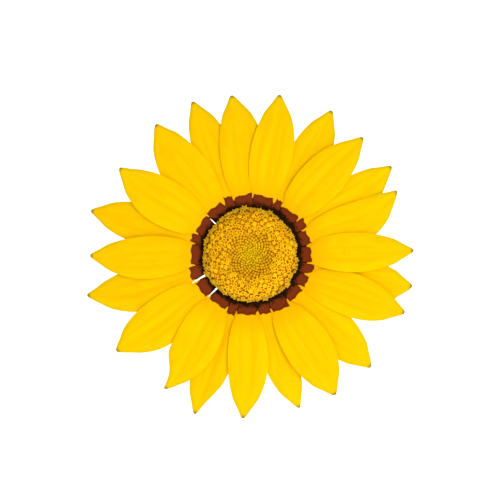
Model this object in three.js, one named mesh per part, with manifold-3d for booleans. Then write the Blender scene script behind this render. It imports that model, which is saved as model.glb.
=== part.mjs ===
// A treasure flower (gazania), cut with its leafless stalk and laid on a surface.
// The bloom leans on the tips of three lower rays and on the stalk, and looks up at an angle.
// Units are millimetres, +Z is up and the surface is z = 0.
// The bloom is built in a frame of its own, with its face in the XY plane and +Z out of the face,
// and a group then leans it back. The rays are listed as they stand round the face.
import * as THREE from "three";
import { mergeVertices } from "three/addons/utils/BufferGeometryUtils.js";
import Module from "manifold-3d";

// How the bloom lies
const FACE_TILT = THREE.MathUtils.degToRad(30); // how far the face looks up from level
const HEAD_X = 0.12;
const HEAD_Y = -45.56;
const HEAD_HEIGHT = 33.2;
const FLOOR_DIP = 0.12; // how far a resting tip is sunk before its flat spot is cut
const SEAT_GAP = 0.3; // between pieces that touch

// The rays, as they stand round the face: the bearings of root, middle and tip in degrees, the tip's
// radius, the half width to the left and right of the midrib, how far out it is widest, how much
// the left edge (or the right one, if negative) draws in before the tip, and the layer
const FRONT = 0;
const MIDDLE = 1;
const BACK = 2;
const RAYS = [
  [2.5, 1.4, 1.6, 38, 4.5, 4.5, 0.53, 0, FRONT],
  [19, 17.5, 23.9, 37.2, 4.5, 5, 0.57, 0, MIDDLE],
  [33, 30, 32.2, 38.7, 5, 4.8, 0.55, 0, BACK],
  [47.8, 47, 46.4, 37.9, 5, 4.9, 0.52, 0.1, FRONT],
  [62, 61, 61, 38.6, 4.6, 5.2, 0.57, 0, BACK],
  [77.4, 77.8, 79.7, 38, 5, 4.6, 0.54, 0, FRONT],
  [96.6, 95, 96.8, 37.5, 4.9, 5, 0.55, 0, MIDDLE],
  [112.8, 110.5, 110.9, 38.4, 4.6, 5, 0.54, 0, BACK],
  [128.8, 128.3, 126, 37.8, 5.2, 5.4, 0.53, 0, MIDDLE],
  [148.4, 148.8, 146.5, 36.7, 5.1, 5.1, 0.53, -0.1, FRONT],
  [163.2, 164.2, 164.5, 38.6, 4.8, 5, 0.55, 0, BACK],
  [179.8, 181.6, 179.9, 37.4, 4.9, 4.9, 0.53, 0, FRONT],
  [197, 197, 193.8, 39.3, 5, 5, 0.53, -0.05, BACK],
  [214.2, 217, 215.8, 38.5, 5.2, 5.5, 0.58, 0.1, MIDDLE],
  [235.4, 239.3, 237.4, 37.1, 4.6, 5.4, 0.53, -0.5, FRONT],
  [250.9, 249.8, 250.6, 39.2, 4.9, 4.6, 0.54, 0.25, BACK],
  [266.3, 268.4, 267.3, 38, 4.75, 4.75, 0.53, 0, FRONT],
  [284, 286.5, 287.5, 37.3, 4, 4.5, 0.53, 0, BACK],
  [300.2, 301.7, 301.2, 38.1, 5.4, 5.3, 0.56, 0, FRONT],
  [319.4, 317.5, 317, 38.4, 5, 5.1, 0.55, 0, BACK],
  [335, 337.5, 339.1, 38.3, 5.1, 4.7, 0.56, 0, MIDDLE],
  [347.6, 348, 349.3, 38.3, 4.7, 5.1, 0.59, 0, BACK],
].map(([root, middle, tip, reach, left, right, widest, cusp, layer]) => {
  return { root, middle, tip, reach, left, right, widest, cusp, layer };
});
const LOWEST_BEARING = 270;
const RESTING_SPREAD = 22; // a ray whose tip is this near the lowest bearing touches the surface
const MIDDLE_BEARING_AT = 0.6; // share of the length at which the middle bearing holds
const TIP_SWEEP = 1.5; // the higher, the nearer the tip a ray bends to its last bearing
const RAY_ROOT_RADIUS = 8.8;
const RAY_THICKNESS = 0.6;
const RAY_ROOT_Z = -0.45;
const RAY_RISE = 1.9; // from the root to the flat of the blade
const RAY_RISE_END = 0.35; // share of the length over which it rises
const LAYER_LIFT = [1.25, 0, -1.25];
const LAYERS_PART_FROM = 0.03; // shares of the length between which the layers part
const LAYERS_PART_TO = 0.22;
const LAYER_TIP_Z = [-0.4, -1.5, -2.6];
const RAY_ARCH = 0.45; // how far the edges hang below the middle
const RAY_CREASE = 0.3; // depth of the fold along the midrib
const CREASE_WIDTH = 0.45; // share of the half width that the fold takes
const RAY_FULLNESS = 0.72; // the lower, the fuller the blade towards its ends
const CUSP_START = 0.7; // share of the length from which an edge draws in
const CUSP_END = 0.9;
const CLAW_HALF_WIDTH = 1.45;
const TIP_HALF_WIDTH = 0.3;
const RAY_ROWS = 11;
const RAY_COLUMNS = [-1, -CREASE_WIDTH, 0, CREASE_WIDTH, 1];

// The ring that the rays are rooted in
const RING_INNER_RADIUS = 7.6;
const RING_OUTER_RADIUS = 10.4;
const RING_TOP = 0.1;
const RING_BOTTOM = -1;
const ROUND_SEGMENTS = 36;

// The disc: a low dome that falls off to its rim, with a dip over the closed buds
const DISC_FOOT = RING_TOP + SEAT_GAP;
const DOME_TOP = 4.1;
const RIM_FALL = { depth: 2.3, from: 7, to: 12 };
const BUD_DIP = { depth: 1.3, from: 2, to: 6 };
const FLORET_LEAN = { angle: THREE.MathUtils.degToRad(48), from: 4, to: 11.5 };
const CORE_STEPS = 4;
const BUD_CORE_RADIUS = 5.1;
const OPEN_CORE_INNER = BUD_CORE_RADIUS + SEAT_GAP;
const OPEN_CORE_OUTER = 9.8;
const FLORET_SIDES = 5;
const GOLDEN_ANGLE = Math.PI * (3 - Math.sqrt(5));
const OPEN_FLORETS = {
  spacing: 0.9,
  from: 6.1,
  to: 10.7,
  footRadius: 0.5,
  mouthRadius: 0.74,
  length: 2.2,
  point: 0.5,
  standing: 1, // how far they stand out of their core
};
const BUDS = {
  spacing: 0.6,
  from: 0,
  to: 4.65,
  footRadius: 0.42,
  mouthRadius: 0.48,
  length: 1.1,
  point: 0.28,
  standing: 0.45,
};

// The cup of joined bracts
const CUP_DEPTH = 14;
const CUP_RIM_RADIUS = 8.9;
const CUP_SHOULDER_Z = RING_BOTTOM - SEAT_GAP;
const BOSS_RADIUS = RING_INNER_RADIUS - SEAT_GAP;
const CUP_PROFILE = [
  [0, -CUP_DEPTH],
  [2.5, -CUP_DEPTH],
  [2.9, -13],
  [4.2, -11.6],
  [5.9, -9.8],
  [7.1, -7.6],
  [7.9, -5.2],
  [8.5, -3],
  [CUP_RIM_RADIUS, CUP_SHOULDER_Z - 0.5],
  [CUP_RIM_RADIUS, CUP_SHOULDER_Z],
  [BOSS_RADIUS, CUP_SHOULDER_Z],
  [BOSS_RADIUS, RING_TOP],
  [0, RING_TOP],
];
const BRACT_THICKNESS = 0.7;
const INNER_BRACTS = { count: 16, half: 1.5, from: [8.1, -3.2], bend: [9.6, -2.3], to: [12.4, -2.5] };
const OUTER_BRACTS = { count: 14, half: 1.1, from: [6.9, -7.8], bend: [8.9, -6.4], to: [11.2, -3.9] };
const BRACT_TAPER = 1.6;
const BRACT_TIP_HALF = 0.12;
const BRACT_ROWS = 3;

// The stalk
const STALK_RADIUS = 2;
const STALK_SIDES = 10;
const STALK_STEPS = 20;
const NECK_LENGTH = 22;
const LYING_LENGTH = 30;
const CUT_ANGLE = THREE.MathUtils.degToRad(35);

const wasm = await Module();
wasm.setup();

// A closed geometry as a solid that can be joined and cut.
function solidOf(geometry) {
  const bare = new THREE.BufferGeometry();
  bare.setAttribute("position", geometry.getAttribute("position").clone());
  if (geometry.index) bare.setIndex(geometry.index.clone());
  const merged = mergeVertices(bare, 1e-4);
  const corners = merged.index.array;
  const faces = [];
  for (let i = 0; i < corners.length; i += 3) {
    const [a, b, c] = corners.slice(i, i + 3);
    if (a !== b && b !== c && c !== a) faces.push(a, b, c);
  }
  const mesh = new wasm.Mesh({
    numProp: 3,
    vertProperties: merged.getAttribute("position").array,
    triVerts: new Uint32Array(faces),
  });
  return new wasm.Manifold(mesh);
}

// A solid as a geometry.
function geometryOf(solid) {
  const mesh = solid.getMesh();
  const points = new Float32Array(mesh.numVert * 3);
  for (let i = 0; i < mesh.numVert; i += 1) {
    const start = i * mesh.numProp;
    points.set(mesh.vertProperties.subarray(start, start + 3), i * 3);
  }
  const geometry = new THREE.BufferGeometry();
  geometry.setAttribute("position", new THREE.BufferAttribute(points, 3));
  geometry.setIndex(new THREE.BufferAttribute(mesh.triVerts, 1));
  geometry.computeVertexNormals();
  return geometry;
}

function joined(solids) {
  return solids.reduce((whole, next) => whole.add(next));
}

function smoothStep(from, to, value) {
  return THREE.MathUtils.smoothstep(value, from, to);
}

// A profile of [radius, z] pairs turned about Z.
function turned(profile, segments = ROUND_SEGMENTS) {
  const points = profile.map(([radius, z]) => new THREE.Vector2(radius, z));
  return new THREE.LatheGeometry(points, segments).rotateX(Math.PI / 2);
}

// A thin blade: pointAt(along, across) gives its middle surface, and both faces are split alike.
function blade(pointAt, rows, columns, thickness) {
  const width = columns.length;
  const points = [];
  for (const side of [1, -1]) {
    for (let row = 0; row <= rows; row += 1) {
      for (const across of columns) {
        const p = pointAt(row / rows, across);
        points.push(p.x, p.y, p.z + (side * thickness) / 2);
      }
    }
  }
  const bottom = (rows + 1) * width;
  const at = (row, column) => row * width + column;
  const faces = [];
  const wall = (a, b) => faces.push(a, a + bottom, b + bottom, a, b + bottom, b);
  for (let row = 0; row < rows; row += 1) {
    for (let column = 0; column + 1 < width; column += 1) {
      const [a, b] = [at(row, column), at(row, column + 1)];
      const [c, d] = [at(row + 1, column), at(row + 1, column + 1)];
      faces.push(a, c, b, b, c, d);
      faces.push(a + bottom, b + bottom, c + bottom, b + bottom, d + bottom, c + bottom);
    }
    wall(at(row, 0), at(row + 1, 0));
    wall(at(row + 1, width - 1), at(row, width - 1));
  }
  for (let column = 0; column + 1 < width; column += 1) {
    wall(at(0, column + 1), at(0, column));
    wall(at(rows, column), at(rows, column + 1));
  }
  const geometry = new THREE.BufferGeometry();
  geometry.setAttribute("position", new THREE.Float32BufferAttribute(points, 3));
  geometry.setIndex(faces);
  return geometry;
}

// The width of a ray to one side of its midrib: a claw, a full blade and a point.
function rayHalfWidth(ray, along, across) {
  const half = across > 0 ? ray.left : ray.right;
  const stretched = along ** (Math.log(0.5) / Math.log(ray.widest));
  const drawn = Math.max(0, Math.sign(across) * ray.cusp) * smoothStep(CUSP_START, CUSP_END, along);
  const body = half * (1 - drawn) * Math.max(Math.sin(Math.PI * stretched), 0) ** RAY_FULLNESS;
  const claw = CLAW_HALF_WIDTH * (1 - along) ** 3;
  return Math.max(Math.hypot(body, claw), TIP_HALF_WIDTH);
}

// The bearing of a ray's midrib, through its root, middle and tip.
function rayBearing(ray, along) {
  const [a, b, c] = [ray.root, ray.middle, ray.tip].map(THREE.MathUtils.degToRad);
  const beyond = (along - MIDDLE_BEARING_AT) / (1 - MIDDLE_BEARING_AT);
  if (beyond < 0) return THREE.MathUtils.lerp(a, b, smoothStep(0, MIDDLE_BEARING_AT, along));
  return THREE.MathUtils.lerp(b, c, beyond ** TIP_SWEEP);
}

// The height of a ray's tip over the face plane. A resting tip is set to meet the surface.
function rayTipZ(ray) {
  const rests = Math.abs(ray.tip - LOWEST_BEARING) < RESTING_SPREAD;
  if (!rests) return LAYER_TIP_Z[ray.layer];
  const down = -ray.reach * Math.sin(THREE.MathUtils.degToRad(ray.tip));
  const drop = HEAD_HEIGHT + FLOOR_DIP - down * Math.cos(FACE_TILT);
  return -drop / Math.sin(FACE_TILT) + RAY_THICKNESS / 2;
}

// A point of a ray's middle surface, by its shares of the length and of the half width.
function rayPoint(ray, along, across) {
  const radius = THREE.MathUtils.lerp(RAY_ROOT_RADIUS, ray.reach, along);
  const bearing = rayBearing(ray, along);
  const half = rayHalfWidth(ray, along, across);
  const spread = smoothStep(LAYERS_PART_FROM, LAYERS_PART_TO, along);
  const flat = RAY_ROOT_Z + RAY_RISE + LAYER_LIFT[ray.layer];
  const rise = RAY_RISE * smoothStep(0, RAY_RISE_END, along) + LAYER_LIFT[ray.layer] * spread;
  const fall = (rayTipZ(ray) - flat) * along ** 3;
  const fullness = Math.min((2 * half) / (ray.left + ray.right), 1);
  const hang = RAY_ARCH * across ** 2 * fullness;
  const fold = Math.max(0, 1 - Math.abs(across) / CREASE_WIDTH);
  const crease = RAY_CREASE * fold * spread * fullness;
  const z = RAY_ROOT_Z + rise + fall - hang - crease;
  const [cos, sin] = [Math.cos(bearing), Math.sin(bearing)];
  return new THREE.Vector3(
    radius * cos - across * half * sin,
    radius * sin + across * half * cos,
    z,
  );
}

// All rays and the ring that they are rooted in, with the resting tips cut level.
function rayPetals(floorInHead) {
  const ring = turned([
    [RING_INNER_RADIUS, RING_BOTTOM],
    [RING_OUTER_RADIUS, RING_BOTTOM],
    [RING_OUTER_RADIUS, RING_TOP],
    [RING_INNER_RADIUS, RING_TOP],
    [RING_INNER_RADIUS, RING_BOTTOM],
  ]);
  const blades = RAYS.map((ray) =>
    solidOf(blade((s, u) => rayPoint(ray, s, u), RAY_ROWS, RAY_COLUMNS, RAY_THICKNESS)),
  );
  return joined([solidOf(ring), ...blades]).subtract(floorInHead);
}

// The height of the disc's surface.
function discHeight(radius) {
  const fall = RIM_FALL.depth * smoothStep(RIM_FALL.from, RIM_FALL.to, radius);
  const dip = BUD_DIP.depth * (1 - smoothStep(BUD_DIP.from, BUD_DIP.to, radius));
  return DOME_TOP - fall - dip;
}

// How far a floret leans out from the flower's axis.
function floretLean(radius) {
  return FLORET_LEAN.angle * smoothStep(FLORET_LEAN.from, FLORET_LEAN.to, radius);
}

// Florets of one kind by the golden angle, each with few sides and its foot sunk in the core.
function florets(kind) {
  const shape = [
    [0, 0],
    [kind.footRadius, 0],
    [kind.mouthRadius, kind.length],
    [0, kind.length + kind.point],
  ];
  const made = [];
  for (let n = 0; ; n += 1) {
    const radius = kind.spacing * Math.sqrt(n + 0.5);
    if (radius > kind.to) return made;
    if (radius < kind.from) continue;
    const bearing = n * GOLDEN_ANGLE;
    const lean = floretLean(radius);
    const outward = new THREE.Vector3(Math.cos(bearing), Math.sin(bearing), 0);
    const direction = outward.clone().multiplyScalar(Math.sin(lean));
    direction.z = Math.cos(lean);
    const foot = outward.clone().multiplyScalar(radius);
    foot.z = discHeight(radius);
    foot.addScaledVector(direction, -kind.length);
    const floret = turned(shape, FLORET_SIDES);
    floret.applyQuaternion(
      new THREE.Quaternion().setFromUnitVectors(new THREE.Vector3(0, 0, 1), direction),
    );
    made.push(solidOf(floret.translate(foot.x, foot.y, foot.z)));
  }
}

// The top of a core, from its outer to its inner radius, that the florets stand out of.
function coreTop(outer, inner, kind) {
  return Array.from({ length: CORE_STEPS + 1 }, (_, n) => {
    const radius = THREE.MathUtils.lerp(outer, inner, n / CORE_STEPS);
    return [radius, discHeight(radius) - kind.standing];
  });
}

function discOpenFlorets() {
  const core = turned([
    [OPEN_CORE_INNER, DISC_FOOT],
    [OPEN_CORE_OUTER, DISC_FOOT],
    ...coreTop(OPEN_CORE_OUTER, OPEN_CORE_INNER, OPEN_FLORETS),
    [OPEN_CORE_INNER, DISC_FOOT],
  ]);
  return joined([solidOf(core), ...florets(OPEN_FLORETS)]);
}

function discBuds() {
  const core = turned([
    [0, DISC_FOOT],
    [BUD_CORE_RADIUS, DISC_FOOT],
    ...coreTop(BUD_CORE_RADIUS, 0, BUDS),
  ]);
  return joined([solidOf(core), ...florets(BUDS)]);
}

// One bract tooth: it leaves the cup, bends at its middle and ends in a point.
function bractTooth(row, bearing) {
  const path = new THREE.QuadraticBezierCurve(
    new THREE.Vector2(...row.from),
    new THREE.Vector2(...row.bend),
    new THREE.Vector2(...row.to),
  );
  const pointAt = (along, across) => {
    const p = path.getPoint(along);
    const half = row.half * (1 - along ** BRACT_TAPER) + BRACT_TIP_HALF;
    return new THREE.Vector3(p.x, across * half, p.y);
  };
  return blade(pointAt, BRACT_ROWS, [-1, 1], BRACT_THICKNESS).rotateZ(bearing);
}

// The cup of joined bracts, with the seat for the rays and the disc on top.
function involucre() {
  const teeth = [INNER_BRACTS, OUTER_BRACTS].flatMap((row) =>
    Array.from({ length: row.count }, (_, n) => {
      const bearing = (2 * Math.PI * (n + 0.5)) / row.count;
      return solidOf(bractTooth(row, bearing));
    }),
  );
  return joined([solidOf(turned(CUP_PROFILE)), ...teeth]);
}

// The stalk's path: straight down out of the cup, an easy bend, then along the surface.
class StalkPath extends THREE.Curve {
  constructor(start, restHeight) {
    super();
    this.start = start;
    const fall = start.z - restHeight - NECK_LENGTH * Math.sin(FACE_TILT);
    this.bendRadius = fall / (1 - Math.cos(FACE_TILT));
    this.bendLength = this.bendRadius * FACE_TILT;
    this.total = NECK_LENGTH + this.bendLength + LYING_LENGTH;
  }
  getPoint(t, target = new THREE.Vector3()) {
    const travelled = t * this.total;
    const neck = Math.min(travelled, NECK_LENGTH);
    const turn = THREE.MathUtils.clamp((travelled - NECK_LENGTH) / this.bendRadius, 0, FACE_TILT);
    const lying = Math.max(0, travelled - NECK_LENGTH - this.bendLength);
    const slope = FACE_TILT - turn;
    const bendY = this.bendRadius * (Math.sin(FACE_TILT) - Math.sin(slope));
    const bendZ = this.bendRadius * (Math.cos(slope) - Math.cos(FACE_TILT));
    return target.set(
      this.start.x,
      this.start.y + neck * Math.cos(FACE_TILT) + bendY + lying,
      this.start.z - neck * Math.sin(FACE_TILT) - bendZ,
    );
  }
}

// The stalk, a tube with a flat underside where it lies, cut off at a slant.
function stalk(head) {
  const top = new THREE.Vector3(0, 0, -CUP_DEPTH - SEAT_GAP).applyMatrix4(head.matrixWorld);
  const restHeight = STALK_RADIUS * Math.cos(Math.PI / STALK_SIDES);
  const path = new StalkPath(top, restHeight);
  const section = new THREE.Shape();
  for (let n = 0; n < STALK_SIDES; n += 1) {
    const angle = (2 * Math.PI * n) / STALK_SIDES;
    const corner = [STALK_RADIUS * Math.cos(angle), STALK_RADIUS * Math.sin(angle)];
    if (n === 0) section.moveTo(...corner);
    else section.lineTo(...corner);
  }
  const tube = new THREE.ExtrudeGeometry(section, { steps: STALK_STEPS, extrudePath: path });
  const end = path.getPoint(1);
  const blockSize = 8 * STALK_RADIUS;
  const cutter = new THREE.BoxGeometry(blockSize, blockSize, blockSize);
  cutter.translate(0, blockSize / 2, 0);
  cutter.rotateX(CUT_ANGLE);
  cutter.translate(end.x, end.y - STALK_RADIUS, end.z);
  return solidOf(tube).subtract(solidOf(cutter));
}

function material(colour, roughness) {
  return new THREE.MeshStandardMaterial({ color: colour, roughness, metalness: 0 });
}

function named(name, solid, look) {
  const mesh = new THREE.Mesh(geometryOf(solid), look);
  mesh.name = name;
  return mesh;
}

// The block under the surface, seen from the leaning bloom.
function floorBlock(head) {
  const size = 200;
  const block = new THREE.BoxGeometry(size, size, size).translate(0, 0, -size / 2);
  return solidOf(block.applyMatrix4(head.matrixWorld.clone().invert()));
}

const head = new THREE.Group();
head.position.set(HEAD_X, HEAD_Y, HEAD_HEIGHT);
head.rotation.x = Math.PI / 2 - FACE_TILT;
head.updateMatrixWorld(true);
head.add(
  named("ray_petals", rayPetals(floorBlock(head)), material(0xffd200, 0.6)),
  named("disc_open_florets", discOpenFlorets(), material(0xf2a800, 0.75)),
  named("disc_buds", discBuds(), material(0xb08a10, 0.8)),
  named("involucre", involucre(), material(0x6f8f3f, 0.65)),
);

const flower = new THREE.Group();
flower.add(head, named("stalk", stalk(head), material(0x7f9a4a, 0.6)));

export default flower;
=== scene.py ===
import math
import random
from typing import NamedTuple

import bmesh
import bpy
from bpy.props import FloatProperty, FloatVectorProperty, IntProperty, PointerProperty
from bpy.types import Operator, Panel, PropertyGroup
from mathutils import Color, Matrix, Vector


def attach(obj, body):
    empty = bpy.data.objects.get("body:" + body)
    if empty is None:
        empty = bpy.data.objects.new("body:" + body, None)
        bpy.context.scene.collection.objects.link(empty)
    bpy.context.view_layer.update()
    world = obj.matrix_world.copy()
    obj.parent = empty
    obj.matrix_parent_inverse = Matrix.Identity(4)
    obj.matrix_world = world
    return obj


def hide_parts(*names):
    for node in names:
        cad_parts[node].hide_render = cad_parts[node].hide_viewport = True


bl_info = {
    "name": "Treasure flower",
    "version": (1, 0, 0),
    "blender": (4, 5, 0),
    "location": "3D View > Sidebar > Flower",
    "description": "Models and colours a cut gazania bloom on its stalk",
    "category": "Object",
}

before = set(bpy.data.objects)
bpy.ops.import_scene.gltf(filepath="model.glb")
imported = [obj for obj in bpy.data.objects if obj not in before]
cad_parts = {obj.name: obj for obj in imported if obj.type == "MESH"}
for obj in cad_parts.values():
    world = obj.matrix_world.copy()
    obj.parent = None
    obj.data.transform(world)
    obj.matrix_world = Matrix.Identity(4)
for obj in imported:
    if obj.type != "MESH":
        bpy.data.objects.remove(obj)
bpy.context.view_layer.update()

MM = 0.001
BODY = "root"
SEEDS = {"rays": 11, "open_florets": 5, "buds": 8, "cup": 21, "stalk": 34}

# How the bloom lies: its face is the XY plane of a frame of its own, with +Z out of the face
FACE_TILT = math.radians(30)
HEAD_PLACE = Vector((0.12, -45.56, 33.2))
HEAD_TURN = Matrix.Rotation(math.pi / 2 - FACE_TILT, 4, "X")
HEAD_MM = Matrix.Translation(HEAD_PLACE) @ HEAD_TURN
HEAD = Matrix.Scale(MM, 4) @ HEAD_MM
FLOOR_DIP = 0.12  # how far below the surface the middle of a resting tip would lie uncut


class Ray(NamedTuple):
    """One ray: bearings of root, middle and tip, its form, its layer and its mark."""

    root: float
    middle: float
    tip: float
    reach: float
    left: float
    right: float
    widest: float
    cusp: float
    layer: int
    mark: float  # bearing of the middle of the brown mark
    mark_width: float
    mark_reach: float  # radius at which the mark ends
    lobe: float  # how much further the left end of the mark reaches than the right end
    folds: tuple  # across positions of the lengthwise folds


# Layers, of which a ray tucked behind two front ones lies nearer to them than the other back ones
FRONT, MIDDLE, BACK, TUCKED = 0, 1, 2, 3
RAYS = [
    Ray(2.5, 1.4, 1.6, 38, 4.5, 4.5, 0.53, 0, FRONT, 0.3, 3.4, 13.95, -0.1, (-0.35, 0.3)),
    Ray(19, 17.5, 23.6, 37.3, 4.5, 5, 0.57, 0, MIDDLE, 17.5, 3.1, 14.0, -0.5, (-0.5, 0.15)),
    Ray(33, 30, 32.2, 39.0, 4.6, 4.8, 0.55, 0, BACK, 31.3, 2.4, 14.6, 0.35, (-0.2, 0.45)),
    Ray(47.8, 47, 46.4, 37.9, 5, 4.9, 0.52, 0.1, FRONT, 47, 4.3, 13.65, -0.7, (-0.55, 0.0, 0.5)),
    Ray(62, 61, 60.8, 38.8, 3.95, 5.2, 0.57, 0, TUCKED, 62, 1.5, 14.25, 0, (0.15,)),
    Ray(77.4, 77.8, 79.8, 38, 5.2, 4.5, 0.54, 0, FRONT, 77.8, 4.5, 13.95, 0.25, (-0.35, 0.1, 0.6)),
    Ray(96.6, 95, 96.9, 37.65, 5, 5.1, 0.55, 0, MIDDLE, 97.2, 4.15, 14.0, -0.6, (-0.5, 0.3)),
    Ray(112.8, 110.5, 110.9, 38.55, 4.3, 4.8, 0.54, 0, BACK, 112.1, 1.9, 14.55, 0.2, (-0.35, 0.2)),
    Ray(128.8, 128.3, 126.1, 37.85, 5.25, 5.5, 0.53, 0, MIDDLE, 128.3, 4.2, 14.0, 0.1, (-0.3, 0.15)),
    Ray(148.4, 148.8, 146.6, 36.8, 5.2, 5.3, 0.53, -0.1, FRONT, 148, 4.3, 13.75, -0.1, (-0.45, 0.1)),
    Ray(163.2, 164.2, 164.5, 38.95, 4.6, 4.8, 0.55, 0, TUCKED, 162.9, 2.1, 14.4, 0, (-0.3, 0.3)),
    Ray(179.8, 181.6, 180.2, 37.55, 4.8, 4.9, 0.53, 0, FRONT, 179.4, 4.5, 13.85, 0, (-0.25, 0.45)),
    Ray(197, 197, 193.9, 39.6, 5.3, 5.2, 0.53, -0.05, BACK, 197.4, 3.1, 14.75, 0.45, (-0.4, 0.15)),
    Ray(214.2, 217, 215.5, 38.7, 5.2, 5.5, 0.58, 0.1, MIDDLE, 215, 3.7, 14.3, 0, (-0.45, 0.0, 0.4)),
    Ray(235.4, 239.3, 237.2, 37.15, 4.6, 5.5, 0.53, -0.5, FRONT, 235.5, 4.3, 13.8, 0.1, (-0.1, 0.4)),
    Ray(250.9, 249.8, 250.5, 39.5, 4.55, 4.15, 0.54, 0.25, TUCKED, 250.8, 2, 14.55, 0.1, (-0.3, 0.2)),
    Ray(266.3, 268.4, 267.2, 38.15, 4.65, 4.6, 0.53, 0, FRONT, 265.5, 4.3, 13.85, 0, (-0.4, 0.25)),
    Ray(284, 286.5, 287.5, 37.75, 3.7, 4.3, 0.53, 0, TUCKED, 283.8, 2.7, 14.0, 0.25, (-0.2, 0.35)),
    Ray(300.2, 301.7, 301, 38.15, 5.5, 5.3, 0.56, 0, FRONT, 299.5, 3.95, 14.4, 0.45, (-0.5, 0.0, 0.45)),
    Ray(319.4, 317.5, 316.9, 38.55, 5, 5, 0.55, 0, BACK, 318, 3.95, 14.2, 0.2, (-0.35, 0.2)),
    Ray(335, 337.5, 339.4, 38.45, 5.3, 4.55, 0.56, 0, MIDDLE, 334.2, 2.5, 14.35, 0.15, (-0.4, 0.1, 0.5)),
    Ray(347.6, 348, 349, 38.55, 4.6, 6.0, 0.59, 0, BACK, 346.3, 2.5, 14.85, 0.2, (-0.3, 0.25)),
]

# Rays whose tips lie within this many degrees of the lowest bearing rest on the surface
LOWEST_BEARING = 270
RESTING_SPREAD = 22

# Form of the rays. Along is 0 at a ray's root and 1 at its tip, across -1 to 1 between its edges
MIDDLE_BEARING_AT = 0.6
TIP_SWEEP = 1.5
RAY_ROOT_RADIUS = 8.8
RAY_ROOT_Z = -0.45
RAY_RISE = 1.9
RAY_RISE_END = 0.35
LAYER_LIFT = (0.66, 0, -0.6, -0.25)
LAYERS_PART = (0.03, 0.4)
LAYER_TIP_Z = (-0.4, -1.5, -2.6, -2.4)
RAY_ARCH = 0.34
RAY_CREASE = 0.3
CREASE_WIDTH = 0.45
RAY_FULLNESS = 0.7
TIP_DRAWN = 0.18  # share by which the blade narrows more towards its tip
TIP_DRAWN_FROM = (0.84, 0.95)
CUSP_FROM = (0.7, 0.9)
CLAW_HALF_WIDTH = 2.3
CLAW_FALL = 5  # the higher, the sooner a claw narrows
TIP_HALF_WIDTH = 0.14
EDGE_SPARE = 0.12  # the thin edge of a blade reaches this far beyond the solid's
EDGE_SPARE_AT = 0.3
FOLDS_END = 0.6  # from where the folds fade towards the tip
SOLID_RAY_THICKNESS = 0.6
RAY_ROWS = 60
RAY_COLUMNS = 28
RAY_SHARP_ANGLE = 55
FLOOR_CLEARANCE = 0.02
EDGE_THINNING = 3  # the higher, the later a ray thins towards its edges
TIP_THINNING = (0.6, 4)  # how much it thins towards its tip, and how late

# Marks: where the black band ends in each layer, the two lobes of the brown outer edge, and how
# far the blade of an upper ray goes on beyond the sides of its mark
BAND_END = (11.95, 12, 12.25, 12.25)
LOBE_HEIGHT = 0.12
LOBE_WAVES = 0.85
LOBE_TURN = 2.7
MARK_SPARE = 0.07  # half of the soft outer edge of a mark
MARK_MARGIN = 0.38
CLAW_OPENS = (12.8, 16.2)
GAP_START = 12.95  # radius from which outwards the marks stand apart
GAP_FLARE = 1.5  # how fast a mark widens inwards from there
GAP_SLANT = (14.0, 0.15)  # radius from which inwards the sides of a mark slant, and by how much
DEEP_INSIDE = 5  # a distance in mm well within the mark, the black band and the rim

# Slits between rays, through which the ground shows: bearings and radii of both ends, width
SLITS = (
    ((203.2, 10.2), (205.9, 16.2), 0.62),
    ((224.3, 10.4), (224.2, 13.9), 0.44),
    ((138.8, 10.3), (138.2, 13.1), 0.34),
)
SLIT_OPENS = 0.1
SLIT_TAPER = 0.9
SLIT_SOFT_END = 0.25

# The ring that the rays are rooted in: inner and outer radius, bottom and top
RING = (7.6, 10.4, -1, 0.1)
ROUND_STEPS = 96
WELD = 1e-4

# Patterns of a ray: how often they repeat over its length, per mm across it, and from ray to ray
VEIN_STRETCH = (3.0, 1.9, 40.0)
BLOTCH_STRETCH = (6.0, 0.42, 40.0)
RIDGE_STRETCH = (4.0, 3.4, 40.0)
RIDGE_HEIGHT = 0.1
# Patterns on Object coordinates, as waves per mm
MARK_RAGS = 1.4
MARK_RAG_DEPTH = 0.07
BAND_CLOUDS = 0.8
BRACT_MOTTLE = 0.9
BRACT_BUMP = 0.15
STALK_FIBRES = (1.5, 0.2, 1.5)
TABLE_GRAIN = 0.4
TABLE_GRAIN_HEIGHT = 0.1

# The disc
SEAT_GAP = 0.3
DISC_FOOT = RING[3] + SEAT_GAP
DOME_TOP = 4.1
RIM_FALL = (2.3, 7, 12)  # depth, and the radii between which it falls
BUD_DIP = (1.3, 2, 6)
FLORET_LEAN = (math.radians(48), 4, 11.5)
# How far the disc's outline lies outside its mean radius, from bearing 0 in even steps
DISC_OUTLINE = (
    (-0.45, -0.15, -0.05, -0.45, -0.05, -0.15, 0.15, 0.25)
    + (0.25, 0.1, 0, 0.35, 0.05, 0.4, 0.2, 0)
    + (-0.2, 0.1, -0.25, -0.2, -0.1, 0.2, -0.15, 0.25)
)
OUTLINE_FROM = (7, 10.7)  # radii between which the outline comes to show
GOLDEN_ANGLE = math.pi * (3 - math.sqrt(5))
DISC_SHARP_ANGLE = 70
FLORET_SIDES = 10
FLORET_LOBES = 5
HEIGHT_JITTER = 0.8  # a floret's random shift in height, as a share of the one sideways

# Spirals: radius = spacing * number ** power, and the radii between which florets stand
OPEN_SPIRAL = (0.102, 0.79, 5.3, 10.9)
OPEN_SCALES = (0.9, 1.15)
OPEN_JITTER = 0.16
OPEN_CORE = (5.0, 10.15, 0.5)  # inner and outer radius, and how far it lies below the surface
RIM_FLORETS = 88  # small florets that close the disc's rim
RIM_RADIUS = 10.7
RIM_SCALES = (0.6, 0.85)
RIM_JITTER = 0.12
BUD_SPIRAL = (0.2016, 0.6, 0, 5.6)
BUD_PITCH = 0.62  # distance between buds for which their form is drawn; open florets have 1
BUD_JITTER = 0.09
BUD_CORE = (0, 5.1, 0.3)

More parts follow.
